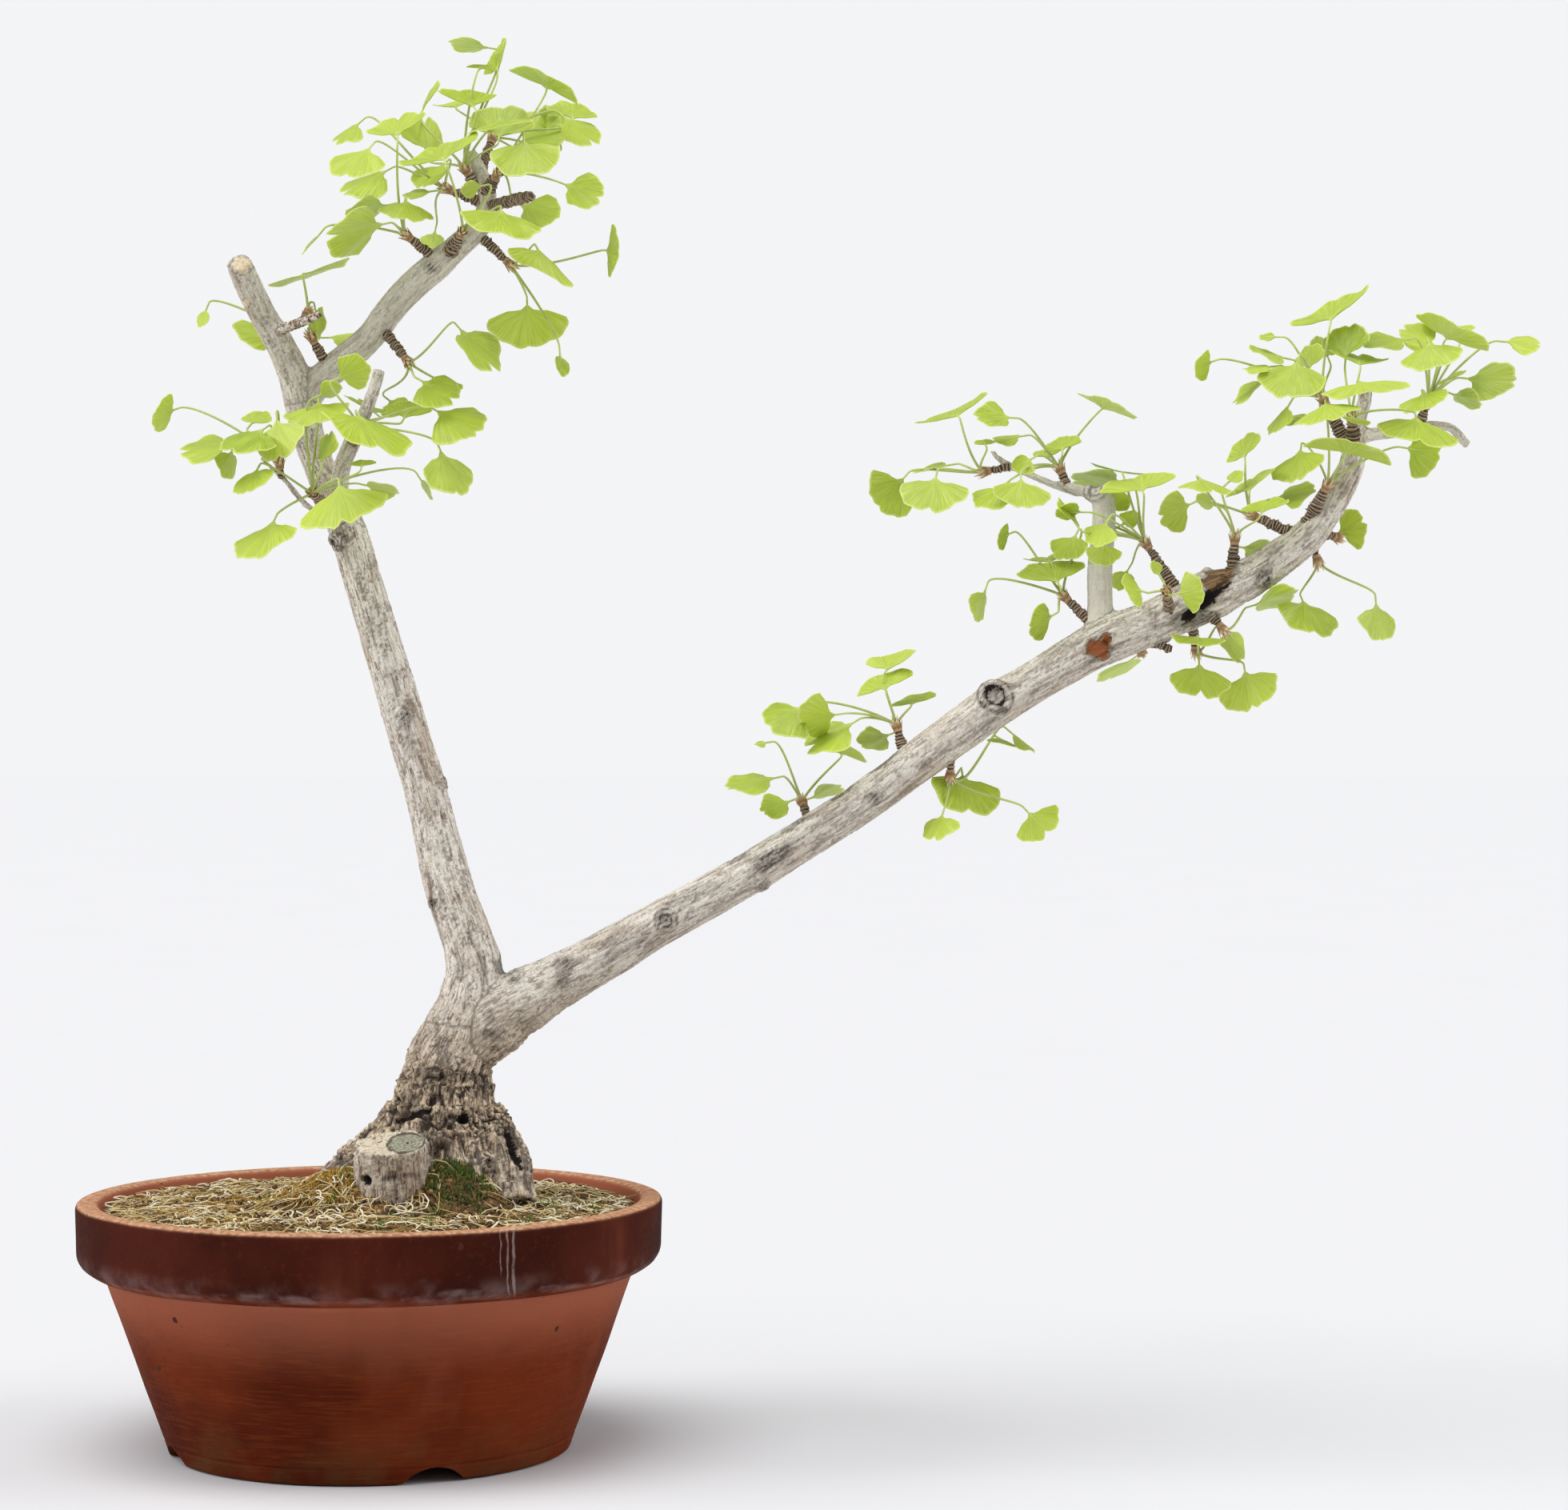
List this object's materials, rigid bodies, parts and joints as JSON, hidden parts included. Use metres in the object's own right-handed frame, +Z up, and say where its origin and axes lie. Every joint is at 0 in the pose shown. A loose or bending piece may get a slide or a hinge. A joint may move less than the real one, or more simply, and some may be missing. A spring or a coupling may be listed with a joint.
{
  "type": "ginkgo bonsai",
  "caption": "Ginkgo bonsai with a forked pale trunk, one long side branch and fan-shaped leaves in tufts, growing in a round brown clay pot with drain holes.",
  "frame": {"origin": "centre of the pot's flat foot, on the surface it stands on", "axes": "+Z up; +X along the long side branch; -Y is the front"},
  "size_m": [0.7512, 0.3, 0.7271],
  "materials": {
    "clay": "matt unglazed clay, darker rim band, pale lime bloom",
    "soil": "crumbly bonsai mix with dried moss and straw on top",
    "bark": "matt fissured bark, whitish, brown in the cracks",
    "leaf": "thin, matt, translucent green"
  },
  "bodies": {
    "root": {"pot": "clay", "soil": "soil", "wood": "bark", "leaves_apex_1": "leaf", "leaves_apex_2": "leaf", "leaves_apex_3": "leaf", "leaves_apex_4": "leaf", "leaves_apex_5": "leaf", "leaves_apex_6": "leaf", "leaves_apex_7": "leaf", "leaves_left_1": "leaf", "leaves_left_2": "leaf", "leaves_left_3": "leaf", "leaves_left_4": "leaf", "leaves_left_5": "leaf", "leaves_left_7": "leaf", "leaves_left_6": "leaf", "leaves_mid_1": "leaf", "leaves_mid_2": "leaf", "leaves_mid_3": "leaf", "leaves_cross_1": "leaf", "leaves_cross_2": "leaf", "leaves_cross_3": "leaf", "leaves_cross_4": "leaf", "leaves_cross_5": "leaf", "leaves_cross_6": "leaf", "leaves_cross_7": "leaf", "leaves_end_1": "leaf", "leaves_end_2": "leaf", "leaves_end_3": "leaf", "leaves_end_4": "leaf", "leaves_end_5": "leaf", "leaves_end_6": "leaf", "leaves_low_1": "leaf", "leaves_low_2": "leaf", "leaves_low_3": "leaf"}
  },
  "joints": []
}
